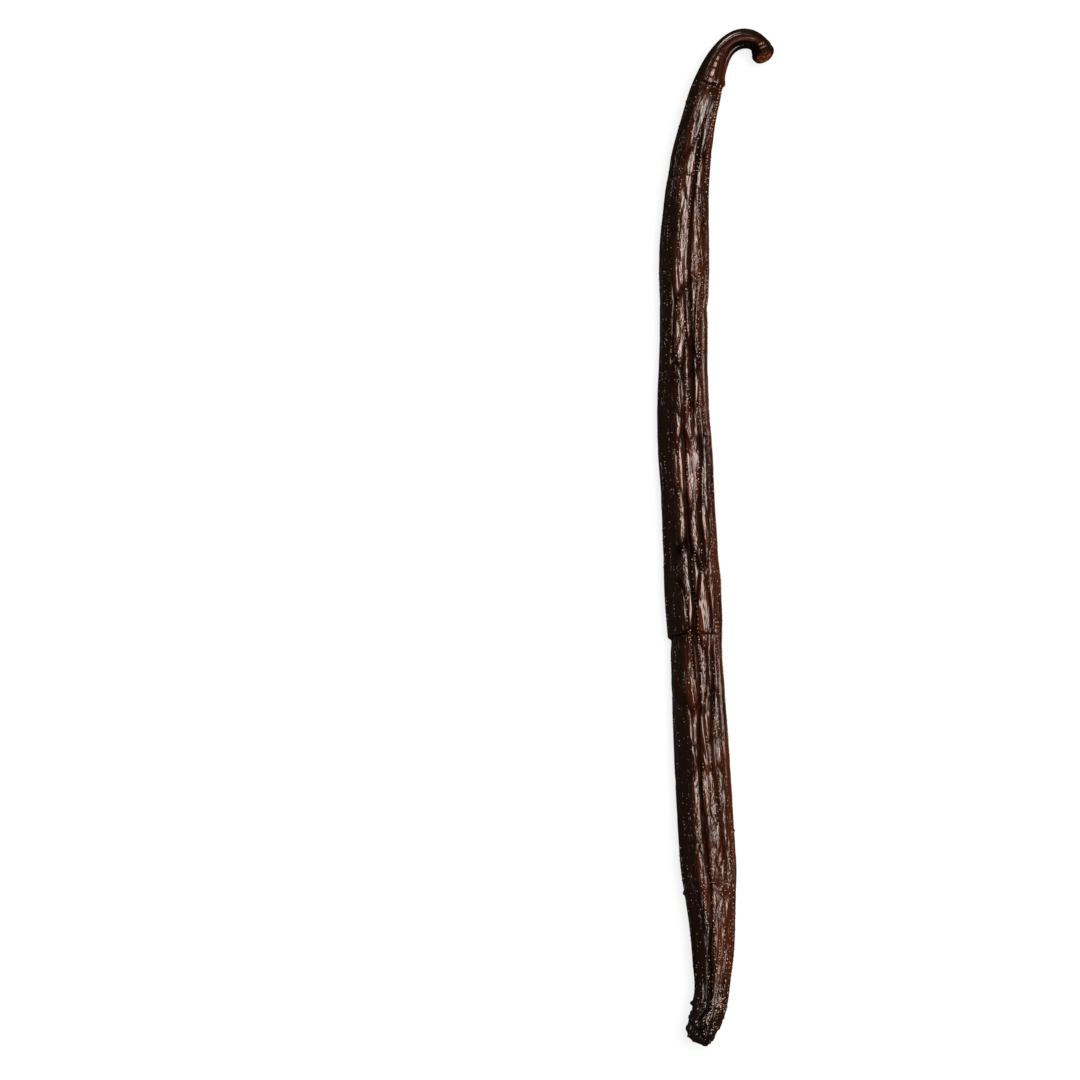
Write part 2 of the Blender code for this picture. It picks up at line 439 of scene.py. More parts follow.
def cross_frame(along):
    """Unit vectors across the pod: sideways to its right, and up."""
    nudge = 0.02
    forward = middle_line(along + nudge) - middle_line(along - nudge)
    forward /= np.linalg.norm(forward, axis=-1, keepdims=True)
    side = np.stack((np.cos(heading(along)), -np.sin(heading(along)), 0.0 * along), axis=-1)
    return side, np.cross(side, forward)


def half_sizes(along):
    """Half the width and half the thickness of the pod."""
    places, widths, depths = np.array(GIRTH).T
    from_tip = np.clip(along / TIP_ROUNDING, 0.0, 1.0)
    rounding = (1.0 - (1.0 - from_tip) ** TIP_BLUNTNESS) ** (1.0 / TIP_BLUNTNESS)
    half_width = 0.5 * rounding * through(places, widths, along)
    half_depth = 0.5 * rounding * through(places, depths, along)
    return half_width, half_depth


def apart(angle, other):
    """Difference between two angles, in degrees, from -180 to 180."""
    return (angle - other + 180.0) % 360.0 - 180.0


def crease_path(along, first, middle, wander, wave):
    """Angle at which a lengthwise crease runs."""
    return middle + wander * np.sin(2.0 * np.pi * (along - first) / wave)


def stretch(along, first, last, fade):
    """Rises from 0 to 1 past the first place, and falls back to 0 before the last."""
    return ease((along - first) / fade) * ease((last - along) / fade)


def off_underside(angle):
    """0 on the smooth underside, and 1 past it."""
    from_bottom = np.abs(apart(angle, 180.0)) - SMOOTH_UNDERSIDE
    return ease(from_bottom / (CREASED_SIDES - SMOOTH_UNDERSIDE))


def creasing(along, angle):
    """Depth of the lengthwise creases: sharp at the bottom, round at the shoulders."""
    depth = np.zeros_like(along)
    for first, last, middle, wander, wave, deepest in CREASES:
        path = crease_path(along, first, middle, wander, wave)
        near = np.clip(1.0 - np.abs(apart(angle, path)) / CREASE_HALF_WIDTH, 0.0, 1.0)
        depth += deepest * stretch(along, first, last, CREASE_FADE) * near**2
    return depth * off_underside(angle)


def pinching(along, angle):
    """Depth of the pinches across the pod, less the swellings.

    A pinch is full up to half its reach round the pod, and gone at one and a half.
    """
    depth = np.zeros_like(along)
    for place, middle, reach, half_width, deepest in PINCHES:
        near = np.exp(-(((along - place) / half_width) ** 2))
        beyond = np.abs(apart(angle, middle)) / reach - 0.5
        depth += deepest * near * (1.0 - ease(beyond))
    return depth


def flattening(along, angle):
    """Depth of the flats along the pod, which turn its round section into a blunt corner."""
    depth = np.zeros_like(along)
    for first, last, middle, half_width, deepest in FLATS:
        near = ease(1.0 - np.abs(apart(angle, middle)) / half_width)
        depth += deepest * stretch(along, first, last, FLAT_FADE) * near
    return depth


def set_back(along, turned):
    """How far the slanting cut moves a point back along the pod."""
    top, left = CUT_SLANT
    most = 0.5 * top * (1.0 + np.cos(turned)) + 0.5 * left * (1.0 - np.sin(turned))
    return most * ease((along - CUT_SLANT_FROM) / (LENGTH - CUT_SLANT_FROM))


# ---------------------------------------------------------------------------
# Random fields on the unrolled skin. They join up with themselves round the pod.
def drift(along, angle, count, length, seed):
    """Smooth noise from -1 to 1, with count waves round the pod and so long along it."""
    rows = int(LENGTH / length) + 4
    table = np.random.default_rng(seed).uniform(-1.0, 1.0, (rows, count))
    across = (angle / 360.0 * count) % count
    down = along / length + 1.0
    i = np.floor(across).astype(int)
    j = np.clip(np.floor(down).astype(int), 0, rows - 2)
    u = ease(across - i)
    v = ease(down - j)
    near = table[j, i % count] * (1.0 - u) + table[j, (i + 1) % count] * u
    far = table[j + 1, i % count] * (1.0 - u) + table[j + 1, (i + 1) % count] * u
    return near * (1.0 - v) + far * v


def leaves(along, angle, count, length, seed):
    """Leaf-shaped cells: distance from the middle, lean to one side, and edge."""
    rows = int(LENGTH / length) + 6
    random = np.random.default_rng(seed)
    jitter = random.uniform(-0.38, 0.38, (rows, count, 2))
    lean_of = random.uniform(-1.0, 1.0, (rows, count))
    sway = LEAF_DRIFT * drift(along, angle, 5, 2.1 * length, seed + 1)
    sway += 0.4 * LEAF_DRIFT * drift(along, angle, 11, 0.8 * length, seed + 2)
    across = angle / 360.0 * count + sway
    down = along / length + 2.0
    row = np.floor(down).astype(int)
    nearest = np.full(along.shape, 9.0)
    second = np.full(along.shape, 9.0)
    lean = np.zeros(along.shape)
    for down_step in (-1, 0, 1):
        j = np.clip(row + down_step, 0, rows - 1)
        shift = 0.5 * (j % 2)
        column = np.floor(across - shift).astype(int)
        for across_step in (-1, 0, 1):
            i = column + across_step
            offset = jitter[j, i % count]
            du = across - (i + 0.5 + shift + offset[..., 0])
            dv = down - (j + 0.5 + offset[..., 1])
            far = np.hypot(du, dv)
            closer = far < nearest
            second = np.where(closer, nearest, np.minimum(second, far))
            lean = np.where(closer, du * lean_of[j, i % count], lean)
            nearest = np.where(closer, far, nearest)
    edge = np.clip(1.0 - (second - nearest) / LEAF_EDGE, 0.0, 1.0)
    return nearest, lean * (1.0 - edge), edge


# ---------------------------------------------------------------------------
# Relief.
def slits(along, angle):
    """How deep in the slit of a lengthwise crease a point lies, from 0 to 1."""
    deepest = np.zeros_like(along)
    for first, last, middle, wander, wave, _ in CREASES:
        path = crease_path(along, first, middle, wander, wave)
        path = path + 2.0 * drift(along, angle, 3, 5.0, SEED + 70)
        near = np.clip(1.0 - np.abs(apart(angle, path)) / SLIT_HALF_WIDTH, 0.0, 1.0)
        deepest = np.maximum(deepest, near * stretch(along, first, last, CREASE_FADE))
    broken = ease(1.6 + 1.6 * drift(along, angle, 3, 9.0, SEED + 71))
    return deepest * broken * off_underside(angle)


def ledging(along, angle):
    """Height of the ledges, and how deep under one a point lies, from 0 to 1."""
    height = np.zeros_like(along)
    under = np.zeros_like(along)
    wander = LEDGE_WANDER * drift(along, angle, 16, 9.0, SEED + 72)
    for place, climb, middle, reach, rise in LEDGES:
        round_from = apart(angle, middle)
        past = along - place - climb * round_from / 360.0 - wander
        cover = 1.0 - ease(np.abs(round_from) / reach - 0.5)
        near = np.exp(-((past / LEDGE_REACH) ** 2))
        height += rise * cover * near * np.tanh(past / LEDGE_SHARPNESS)
        below = np.exp(-(((past + LEDGE_SHARPNESS) / (2.0 * LEDGE_SHARPNESS)) ** 2))
        under = np.maximum(under, below * cover * min(1.0, rise / LEDGE_FULL_SHADE))
    return height, under


def folding(along, angle, spots):
    """Height of the folds and grooves."""
    height = np.zeros_like(along)
    for place, middle, half_length, half_width, tilt, rise in spots:
        close = np.abs(along - place) < 1.5 * half_length + half_width
        girth, _ = half_sizes(along[close])
        ahead = along[close] - place
        sideways = np.radians(apart(angle[close], middle)) * girth
        turn = np.radians(tilt)
        lengthwise = (ahead * np.cos(turn) + sideways * np.sin(turn)) / half_length
        across = (sideways * np.cos(turn) - ahead * np.sin(turn)) / half_width
        height[close] += rise * np.exp(-(lengthwise**4) - across**2)
    return height


def puckers():
    """Folds that fan out from a ledge, by turns a ridge and a groove."""
    random = np.random.default_rng(SEED + 60)
    spots = []
    for place, middle, count, spread, half_length, half_width, rise in PUCKERS:
        for k in range(count):
            turned = spread * (2.0 * (k + random.uniform(-0.4, 0.4)) / (count - 1) - 1.0)
            tilt = PUCKER_FAN * turned * (1.0 if place > PUCKERED_LEDGE else -1.0)
            length = half_length * random.uniform(0.5, 1.3)
            height = rise * random.uniform(0.4, 1.2) * (1.0 if k % 2 else -1.0)
            start = place + random.uniform(-0.5, 0.5)
            spots.append((start, middle + turned, length, half_width, tilt, height))
    return spots


def bumps(points, spots):
    """Height of round warts at the given places, angles, radii and heights."""
    height = np.zeros(points.shape[:-1])
    for place, middle, radius, rise in spots:
        centre = smooth_surface(np.array([place]), np.array([middle]))[0]
        away = np.linalg.norm(points - centre, axis=-1) / radius
        height = np.maximum(height, rise * np.exp(-(away**4)))
    return height


def tip_warts():
    """Small warts scattered over the blossom end."""
    random = np.random.default_rng(SEED + 80)
    spots = []
    for _ in range(TIP_WARTS):
        radius = random.uniform(*TIP_WART_RADIUS)
        place = TIP_WARTS_REACH * random.uniform(0.02, 1.0) ** 1.5
        spots.append((place, random.uniform(-180.0, 180.0), radius, TIP_WART_RISE * radius))
    return spots


def scarring(points):
    """Folds that run out from the scar at the blossom end like a star."""
    place, middle, radius, folds, rise = SCAR
    at = np.array([place])
    centre = smooth_surface(at, np.array([middle]))[0]
    normal = outward(at, np.array([middle]))[0]
    side = np.cross((0.0, 1.0, 0.0), normal)
    side /= np.linalg.norm(side)
    ahead = np.cross(normal, side)
    beside = (points - centre) @ side
    before = (points - centre) @ ahead
    away = np.linalg.norm(points - centre, axis=-1) / radius
    turned = np.arctan2(beside, before)
    star = np.abs(np.sin(0.5 * folds * turned + 0.8 * np.sin(2.0 * turned)))
    ring = away**2 * np.exp(1.0 - away**2)
    return rise * ring * (star - 0.35) - 0.9 * rise * np.exp(-((2.2 * away) ** 2))


def calmness(angle):
    """1 on the wrinkled side of the pod, and the calm share round the other side."""
    away = np.abs(apart(angle, WRINKLED_SIDE))
    wrinkled = ease((CALM_FROM - away) / (CALM_FROM - WRINKLED_UP_TO))
    return CALM_SHARE + (1.0 - CALM_SHARE) * wrinkled


def wrinkling(along, angle, calm):
    """Height of the swells and the leaf-shaped wrinkles, and how deep a point lies."""
    height = np.zeros_like(along)
    for k, (count, length, rise) in enumerate(SWELLS):
        height += rise * drift(along, angle, count, length, SEED + k)
    folded = np.zeros_like(along)
    for k, (count, length, bulge, lean, groove) in enumerate(LEAVES):
        nearest, leaning, edge = leaves(along, angle, count, length, SEED + 10 + 10 * k)
        busy = 0.70 + 0.45 * drift(along, angle, 4, 13.0, SEED + 30 + k)
        busy = np.clip(busy, 0.2, 1.0) * calm
        height += busy * (bulge * (0.3 - nearest**2) + lean * leaning - groove * edge**2)
        # The grooves round the leaves are painted dark as shade, by how deep they are.
        folded = np.maximum(folded, busy * edge * groove / LEAVES[0][4])
    return height, folded


def threading(along, angle):
    """Height of the fine threads along the arch of the hook."""
    count, length, rise = THREADS
    place, middle = THREADS_MIDDLE
    reach, spread = THREADS_REACH
    on_arch = np.exp(-(((along - place) / reach) ** 4) - (apart(angle, middle) / spread) ** 4)
    return rise * on_arch * drift(along, angle, count, length, SEED + 50)


def relief(along, angle, points):
    """Height of the fine relief, and how deep in a fold a point lies, from 0 to 1, which sets the
    painted shade.
    """
    half_width, _ = half_sizes(along)
    size = np.clip(half_width / FULL_HALF_WIDTH, 0.15, 1.0)
    calm = calmness(angle)
    on_neck = ease((along - SMOOTH_FROM) / SMOOTH_FADE)
    height, folded = wrinkling(along, angle, calm)
    height *= size * (1.0 - (1.0 - SMOOTH_SHARE) * on_neck)
    height += threading(along, angle)
    slit = slits(along, angle) * calm * (1.0 - 0.6 * on_neck)
    step, under = ledging(along, angle)
    height += step - SLIT_DEPTH * slit * np.sqrt(size)
    height += bumps(points, WARTS + tuple(tip_warts())) + scarring(points)
    height += folding(along, angle, FOLDS + tuple(puckers()))
    hollow = TIP_HOLLOWS * ease((TIP_WARTS_REACH - along) / TIP_WARTS_FADE)
    hollow = hollow * ease(-height / TIP_HOLLOW_DEPTH)
    return height, np.max((folded, under, slit, hollow), axis=0)


def smooth_surface(along, angle):
    """Points of the solid's own skin, without the table."""
    half_width, half_depth = half_sizes(along)
    inward = creasing(along, angle) + pinching(along, angle) + flattening(along, angle)
    inward = np.minimum(inward, DEEPEST_SHARE * half_depth)
    side, up = cross_frame(along)
    turned = np.radians(angle)
    across = ((half_width - inward) * np.sin(turned))[..., None]
    above = ((half_depth - inward) * np.cos(turned))[..., None]
    return middle_line(along - set_back(along, turned)) + across * side + above * up


def outward(along, angle):
    """Unit vectors that stand square on the smooth skin."""
    clear = np.clip(along, 0.04, LENGTH - 1.0)
    ahead = smooth_surface(clear + 0.02, angle) - smooth_surface(clear - 0.02, angle)
    around = smooth_surface(clear, angle + 0.5) - smooth_surface(clear, angle - 0.5)
    normal = np.cross(around, ahead)
    return normal / np.linalg.norm(normal, axis=-1, keepdims=True)


def skin_surface(along, angle):
    """Points of the fine skin in millimetres, and how deep in a fold each one lies."""
    points = smooth_surface(along, angle)
    height, folded = relief(along, angle, points)
    points = points + height[..., None] * outward(along, angle)
    points[..., 2] = np.maximum(points[..., 2], 0.0)
    return points, folded


# ---------------------------------------------------------------------------
# Meshes.
def ring_places():
    """Where the rings of points stand along the pod: closer at the fine spots."""
    fine = np.linspace(FIRST_RING, LENGTH, 8001)
    step = np.full_like(fine, RING_STEP)
    for place, reach, least in FINE_SPOTS:
        step -= (RING_STEP - least) * np.exp(-(((fine - place) / reach) ** 2))
    passed = np.cumsum((fine[1] - fine[0]) / step)
    passed -= passed[0]
    return np.interp(np.linspace(0.0, passed[-1], int(passed[-1])), passed, fine)


def round_angles():
    """Angles of the points round a ring: closer on top, where the pod shows most."""
    turns = np.linspace(0.0, 1.0, POINTS_ROUND, endpoint=False)
    return 360.0 * turns - np.degrees(CROWDED_ON_TOP * np.sin(2.0 * np.pi * turns))


def cut_face(rim):
    """Rings of the cut stem end, from near its rim to near its middle, and the middle."""
    random = np.random.default_rng(SEED + 40)
    centre = rim.mean(axis=0)
    quarter = len(rim) // 4
    normal = np.cross(rim[quarter] - centre, rim[0] - centre)
    normal /= np.linalg.norm(normal)
    shares = np.linspace(1.0, 0.0, FACE_RINGS + 2)[1:-1]
    rings = []
    for share in shares:
        sunk = CUT_SUNK * ease((1.0 - share) / CUT_RIM)
        ragged = CUT_RAGGED * random.normal(0.0, 1.0, len(rim)) * share
        ragged = (ragged + np.roll(ragged, 1) + np.roll(ragged, 2)) / 2.0
        rings.append(centre + share * (rim - centre) + (ragged - sunk)[:, None] * normal)
    return np.array(rings), centre - CUT_SUNK * normal


def add_attribute(mesh, name, values):
    """Stores one number, or one vector, at each point of a mesh."""
    if values.ndim == 1:
        layer = mesh.attributes.new(name, "FLOAT", "POINT")
        layer.data.foreach_set("value", values.astype(np.float32))
    else:
        layer = mesh.attributes.new(name, "FLOAT_VECTOR", "POINT")
        layer.data.foreach_set("vector", values.ravel().astype(np.float32))


def skin_faces(rows):
    """Faces between the rows of points, and fans round the tip and the cut's middle."""
    i = np.arange(POINTS_ROUND)
    j = (i + 1) % POINTS_ROUND
    near = np.arange(rows - 1)[:, None] * POINTS_ROUND
    far = near + POINTS_ROUND
    quads = np.stack((near + i, near + j, far + j, far + i), axis=-1).reshape(-1, 4).tolist()
    last = (rows - 1) * POINTS_ROUND
    tip = rows * POINTS_ROUND
    sides = list(zip(i.tolist(), j.tolist()))
    quads += [(b, a, tip) for a, b in sides]
    return quads + [(last + a, last + b, tip + 1) for a, b in sides]


def build_skin(shift):
    """The whole skin as one closed mesh, with its attributes for the material."""
    along, angle = np.meshgrid(ring_places(), round_angles(), indexing="ij")
    rings, folded = skin_surface(along, angle)
    face, stem = cut_face(rings[-1])
    rows = np.concatenate((rings, face))
    tip = middle_line(np.array(0.0))
    points = np.concatenate((rows.reshape(-1, 3), [tip, stem])) + shift
    mesh = bpy.data.meshes.new("pod_skin")
    mesh.from_pydata((points * MM).tolist(), [], skin_faces(len(rows)))
    mesh.shade_smooth()

    # Skin points are placed by the unrolled pod, and those of the cut by where they lie.
    turned = np.radians(angle)
    unrolled = (FULL_HALF_WIDTH * np.sin(turned), along, FULL_HALF_WIDTH * np.cos(turned))
    straight = np.stack(unrolled, axis=-1).reshape(-1, 3)
    extra = len(points) - len(straight)
    straight = np.concatenate((straight, points[-extra:])) * MM
    straight[-2] = (0.0, 0.0, 0.0)
    inside = np.repeat(np.linspace(0.0, 1.0, FACE_RINGS + 2)[1:-1], POINTS_ROUND)
    cut = np.concatenate((np.zeros(along.size), inside, (0.0, 1.0)))
    add_attribute(mesh, "straight", straight)
    add_attribute(mesh, "folded", np.concatenate((folded.ravel(), np.zeros(extra))))
    add_attribute(mesh, "cut", cut)
    return bpy.data.objects.new("pod_skin", mesh)


def bead_places():
    """Places, angles, radii and paleness of the beads: broken rows, and bunches. Paleness is
    lowered on the dark side, as painted shade.
    """
    random = np.random.default_rng(SEED + 90)
    beads = []
    for row in range(BEAD_ROWS):
        middle = 360.0 / BEAD_ROWS * (row + random.uniform(-0.4, 0.4)) - 180.0
        phase = random.uniform(0.0, 6.0)
        at = random.uniform(2.0, 14.0)
        while at < BEADS_END:
            end = min(at + random.uniform(*BEAD_RUN), BEADS_END)
            spacing = random.uniform(*BEAD_SPACING)
            while at < end:
                at += spacing * random.uniform(0.6, 1.5)
                sway = BEAD_SWAY * np.sin(2.0 * np.pi * at / BEAD_WAVE + phase)
                angle = middle + sway + random.normal(0.0, BEAD_STRAY)
                beads.append((at, angle, random.uniform(*BEAD_RADIUS)))
            at += random.uniform(*BEAD_BREAK)
    for place, middle, spread, reach, count in BEAD_BUNCHES:
        for _ in range(count):
            at = place + reach * random.uniform(-1.0, 1.0)
            angle = middle + spread * random.uniform(-1.0, 1.0)
            beads.append((at, angle, random.uniform(*BEAD_RADIUS)))
    beads += BIG_BEADS
    seen = []
    for bead in beads:
        turned = apart(bead[1], 0.0)
        likely = BEADS_ON_DARK if turned < DARK_SIDE else 1.0
        if abs(turned) < BEAD_LOWEST_ANGLE and random.uniform(0.0, 1.0) < likely:
            # Beads on the dark side are painted darker, as shade.
            pale = random.uniform(0.2, 1.0) * (BEAD_PALENESS_IN_SHADE if turned < DARK_SIDE else 1.0)
            seen.append((*bead, pale))
    return np.array(seen).T


def build_beads(shift):
    """All the beads as one mesh of small balls, each over half sunk into the skin."""
    ball = bmesh.new()
    bmesh.ops.create_icosphere(ball, subdivisions=2, radius=1.0)
    corners = np.array([corner.co for corner in ball.verts])
    sides = np.array([[corner.index for corner in face.verts] for face in ball.faces])
    ball.free()
    along, angle, radius, pale = bead_places()
    centres, _ = skin_surface(along, angle)
    centres -= BEAD_SUNK * radius[:, None] * outward(along, angle)
    points = centres[:, None, :] + radius[:, None, None] * corners + shift
    faces = np.arange(len(radius))[:, None, None] * len(corners) + sides
    mesh = bpy.data.meshes.new("oil_beads")
    mesh.from_pydata((points.reshape(-1, 3) * MM).tolist(), [], faces.reshape(-1, 3).tolist())
    mesh.shade_smooth()
    add_attribute(mesh, "pale", np.repeat(pale, len(corners)))
    return bpy.data.objects.new("oil_beads", mesh)


# ---------------------------------------------------------------------------
# Materials.
HALF = (0.5, 0.5, 0.5)

# A groove between facets takes up this share of a facet's width.
GROOVE_SHARE = 0.14


class Nodes:
    """Short calls for adding and joining a material's nodes."""

    def __init__(self, name):
        self.material = bpy.data.materials.new(name)
        self.material.use_nodes = True
        self.tree = self.material.node_tree
        self.shader = self.tree.nodes["Principled BSDF"]

    def add(self, kind, inputs=None, **settings):
        """A node with its settings, and its inputs set or joined by name or number."""
        node = self.tree.nodes.new(kind)
        for name, value in settings.items():
            setattr(node, name, value)
        self.fill(node, inputs or {})
        return node

    def fill(self, node, inputs):
        """Sets a node's inputs, or joins them to other nodes' sockets."""
        for key, value in inputs.items():
            if isinstance(value, bpy.types.NodeSocket):
                self.tree.links.new(value, node.inputs[key])
            else:
                node.inputs[key].default_value = value

    def attribute(self, name, output="Fac"):
        """A mesh attribute."""
        return self.add("ShaderNodeAttribute", attribute_name=name).outputs[output]

    def vector(self, operation, first, second, output="Vector"):
        """A plain operation on two vectors."""
        inputs = {0: first, 1: second}
        return self.add("ShaderNodeVectorMath", inputs, operation=operation).outputs[output]

    def noise(self, vector, scale, detail=3.0, roughness=0.55, output="Fac"):
        """Noise on a stretched copy of a vector."""
        spread = self.vector("MULTIPLY", vector, scale)
        inputs = {"Vector": spread, "Scale": 1.0, "Detail": detail, "Roughness": roughness}
        return self.add("ShaderNodeTexNoise", inputs).outputs[output]

    def ramp(self, value, low, high, start=0.0, end=1.0):
        """A value from low to high, carried over to start to end."""
        inputs = {"Value": value, "From Min": low, "From Max": high, "To Min": start, "To Max": end}
        return self.add("ShaderNodeMapRange", inputs, interpolation_type="SMOOTHSTEP").outputs[0]

    def blend(self, share, first, second):
        """A colour between two others."""
        inputs = {0: share, 6: first, 7: second}
        return self.add("ShaderNodeMix", inputs, data_type="RGBA").outputs[2]

    def math(self, operation, *values):
        """A sum, product or other plain operation on some values."""
        return self.add("ShaderNodeMath", dict(enumerate(values)), operation=operation).outputs[0]

    def product(self, first, *others):
        """All the values multiplied together."""
        for other in others:
            first = self.math("MULTIPLY", first, other)
        return first

    def most(self, first, *others):
        """The largest of the values."""
        for other in others:
            first = self.math("MAXIMUM", first, other)
        return first

    def slanted(self, vector, slant):
        """A vector whose X also runs with its Y, which slants what is drawn with it."""
        parts = self.add("ShaderNodeSeparateXYZ", {0: vector})
        across = self.math("MULTIPLY_ADD", parts.outputs["Y"], slant, parts.outputs["X"])
        inputs = {"X": across, "Y": parts.outputs["Y"], "Z": parts.outputs["Z"]}
        return self.add("ShaderNodeCombineXYZ", inputs).outputs[0]

    def facets(self, vector, size, length, bend, lean, groove):
        """Height of narrow facets that each lean their own way, with grooves between."""
        scale = (1.0 / size, 1.0 / length, 1.0 / size)
        half_scale = (0.5 / size, 0.5 / length, 0.5 / size)
        waves = self.noise(vector, half_scale, 2.0, output="Color")
        waves = self.vector("SUBTRACT", waves, HALF)
        waves = self.vector("MULTIPLY", waves, (bend, 2.0 * bend, bend))
        spread = self.vector("ADD", self.vector("MULTIPLY", vector, scale), waves)
        inputs = {"Vector": spread, "Scale": 1.0}
        cells = self.add("ShaderNodeTexVoronoi", inputs)
        away = self.vector("SUBTRACT", spread, cells.outputs["Position"])
        tilt = self.vector("SUBTRACT", cells.outputs["Color"], HALF)
        leaning = self.vector("DOT_PRODUCT", away, tilt, output="Value")
        borders = self.add("ShaderNodeTexVoronoi", inputs, feature="DISTANCE_TO_EDGE")
        valley = self.ramp(borders.outputs["Distance"], 0.0, GROOVE_SHARE, -groove, 0.0)
        return self.math("ADD", self.product(leaning, 2.0 * lean), valley)


# Colours of the skin, the cut and the beads.
# Painted shade: the pod's left side, which faces away from the softbox, is near black.
SHADED_SIDE_BLACK = (0.0095, 0.0042, 0.0024, 1.0)
DARK_BROWN = (0.0150, 0.0046, 0.0020, 1.0)
RED_BROWN = (0.0480, 0.0105, 0.0030, 1.0)
# Painted shade, for the folds and the inside of the hook.
PAINTED_SHADE_BLACK = (0.0030, 0.0014, 0.0008, 1.0)
TIP_BLACK = (0.0085, 0.0050, 0.0038, 1.0)
CUT_DARK = (0.035, 0.010, 0.004, 1.0)
CUT_ORANGE = (0.28, 0.082, 0.024, 1.0)
BEAD_DARK = (0.055, 0.035, 0.025, 1.0)
BEAD_PALE = (0.62, 0.42, 0.29, 1.0)

# The oil's shine, full and dulled, and how strongly it bends light.
GLOSS = (1.0, 0.92, 0.88, 1.0)
NO_GLOSS = (0.02, 0.02, 0.02, 1.0)
OIL_IOR = 1.55

# Waves of noise to the metre: round the pod, along it, and through it.
PATCHES = (260.0, 70.0, 260.0)
STREAKS = (1500.0, 160.0, 1500.0)
FIBRES = (2200.0, 2200.0, 2200.0)
OIL = (420.0, 90.0, 420.0)
TURNS = (200.0, 60.0, 200.0)
CROWDS = (330.0, 110.0, 330.0)
GRAIN = (5200.0, 1100.0, 5200.0)
STRANDS = (1150.0, 60.0, 1150.0)
BEAD_TINTS = (1400.0, 1400.0, 1400.0)
BEAD_GRAIN = (9000.0, 9000.0, 9000.0)

# Facets of the skin: size and length in metres, how far they wander as a share of these,
# and the heights of their lean and of the grooves between them, in metres.
LARGE_FACETS = (0.00085, 0.0038, 0.9, 0.00004, 0.00002)
SMALL_FACETS = (0.00052, 0.0024, 0.7, 0.00004, 0.00003)
SMALL_SLANT = 0.55
GRAIN_HEIGHT = 0.0000025

# Where the looks change, in metres along the pod: where each change begins and ends.
TIP_IS_ROUGH = (0.0020, 0.0060)
TIP_IS_BLACK = (0.0040, 0.0130)
TIP_DULLS = (0.0060, 0.0110)
FACETS_GROW = (0.012, 0.026)
TIP_CLEARS = (0.0160, 0.0240)
# Here the edge of the painted shade on the left side moves towards the middle.
DARK_EDGE_MOVES = (0.018, 0.030)
FACETS_SHRINK = (0.150, 0.156)
COLLAR_DULLS = (0.1506, 0.1522)
NECK_DULLS = (0.1505, 0.1560)
COLLAR_CLEARS = (0.1536, 0.1542)
PATCH_BEGINS = (0.1540, 0.1550)
HOOK_DARKENS = (0.1560, 0.1610)
PATCH_ENDS = (0.1590, 0.1596)
HOOK_TURNS = (0.1590, 0.1625)

# The same, in metres to the right of the pod's top.
DARK_TIP_SIDE = (-0.0026, -0.0016)
# Where the painted shade on the left side fades out.
DARK_SIDE_ENDS = (-0.0018, -0.0004)
# Where the painted shade inside the hook begins and is full.
HOOK_INSIDE_SHADE = (0.0004, 0.0016)
RIGHT_FLANK = (0.0034, 0.0041)
PATCH_MIDDLE = -0.0004
PATCH_SIDES = (0.0006, 0.0011)
EDGE_WANDER = 0.0016


class SkinNodes(Nodes):
    """The skin's nodes, with the places on the unrolled pod that its looks go by."""

    def __init__(self):
        super().__init__("pod_skin")
        self.straight = self.attribute("straight", "Vector")
        self.folded = self.attribute("folded")
        self.cut_share = self.ramp(self.attribute("cut"), 0.12, 0.34)
        parts = self.add("ShaderNodeSeparateXYZ", {0: self.straight})
        self.rightward = parts.outputs["X"]
        self.along = parts.outputs["Y"]
        self.past_scar = self.math("ADD", self.along, self.product(self.rightward, 0.9))
        self.patches = self.noise(self.straight, PATCHES)
        # The edge of the painted shade on the left side wanders with the patches, and moves right
        # near the blossom end.
        edge = self.math("ADD", self.rightward, self.product(self.patches, EDGE_WANDER))
        moved = self.ramp(self.along, *DARK_EDGE_MOVES, EDGE_WANDER, 0.0)
        self.past_edge = self.math("SUBTRACT", edge, moved)


def skin_colour(n):
    """Painted shade: near black on the left, black in the folds and inside the hook; patches of
    red-brown on the right.
    """
    streaks = n.noise(n.straight, STREAKS, detail=4.0)
    mottle = n.math("ADD", n.patches, n.product(streaks, 0.7))
    brown = n.blend(n.ramp(mottle, 0.66, 0.98), DARK_BROWN, RED_BROWN)
    # Painted shade: near black on the left side, up to the wandering edge.
    colour = n.blend(n.ramp(n.past_edge, *DARK_SIDE_ENDS), SHADED_SIDE_BLACK, brown)
    colour = n.blend(n.ramp(n.along, *HOOK_DARKENS, 0.0, 0.6), colour, DARK_BROWN)
    # Painted shade inside the hook's arch, which faces away from the softbox.
    inside = n.product(n.ramp(n.along, *HOOK_TURNS), n.ramp(n.rightward, *HOOK_INSIDE_SHADE))
    colour = n.blend(inside, colour, PAINTED_SHADE_BLACK)
    colour = n.blend(n.ramp(n.past_scar, *TIP_IS_BLACK, 1.0, 0.0), colour, TIP_BLACK)
    # Painted shade in the folds, slits, leaf grooves, hollows and under ledges.
    return n.blend(n.ramp(n.folded, 0.25, 0.95, 0.0, 0.95), colour, PAINTED_SHADE_BLACK)


def cut_colour(n):
    """Orange fibres on brown, for the cut stem end."""
    fibres = n.noise(n.straight, FIBRES)
    return n.blend(n.ramp(fibres, 0.49, 0.64), CUT_DARK, CUT_ORANGE)


def skin_roughness(n):
    """Oily and uneven, a little duller at the blossom end and at the cut."""
    oil = n.noise(n.straight, OIL, detail=2.0)
    rough = n.ramp(oil, 0.35, 0.68, 0.12, 0.22)
    rough = n.math("ADD", rough, n.ramp(n.past_scar, *TIP_IS_ROUGH, 0.05, 0.0))
    return n.math("ADD", rough, n.product(n.cut_share, 0.12))


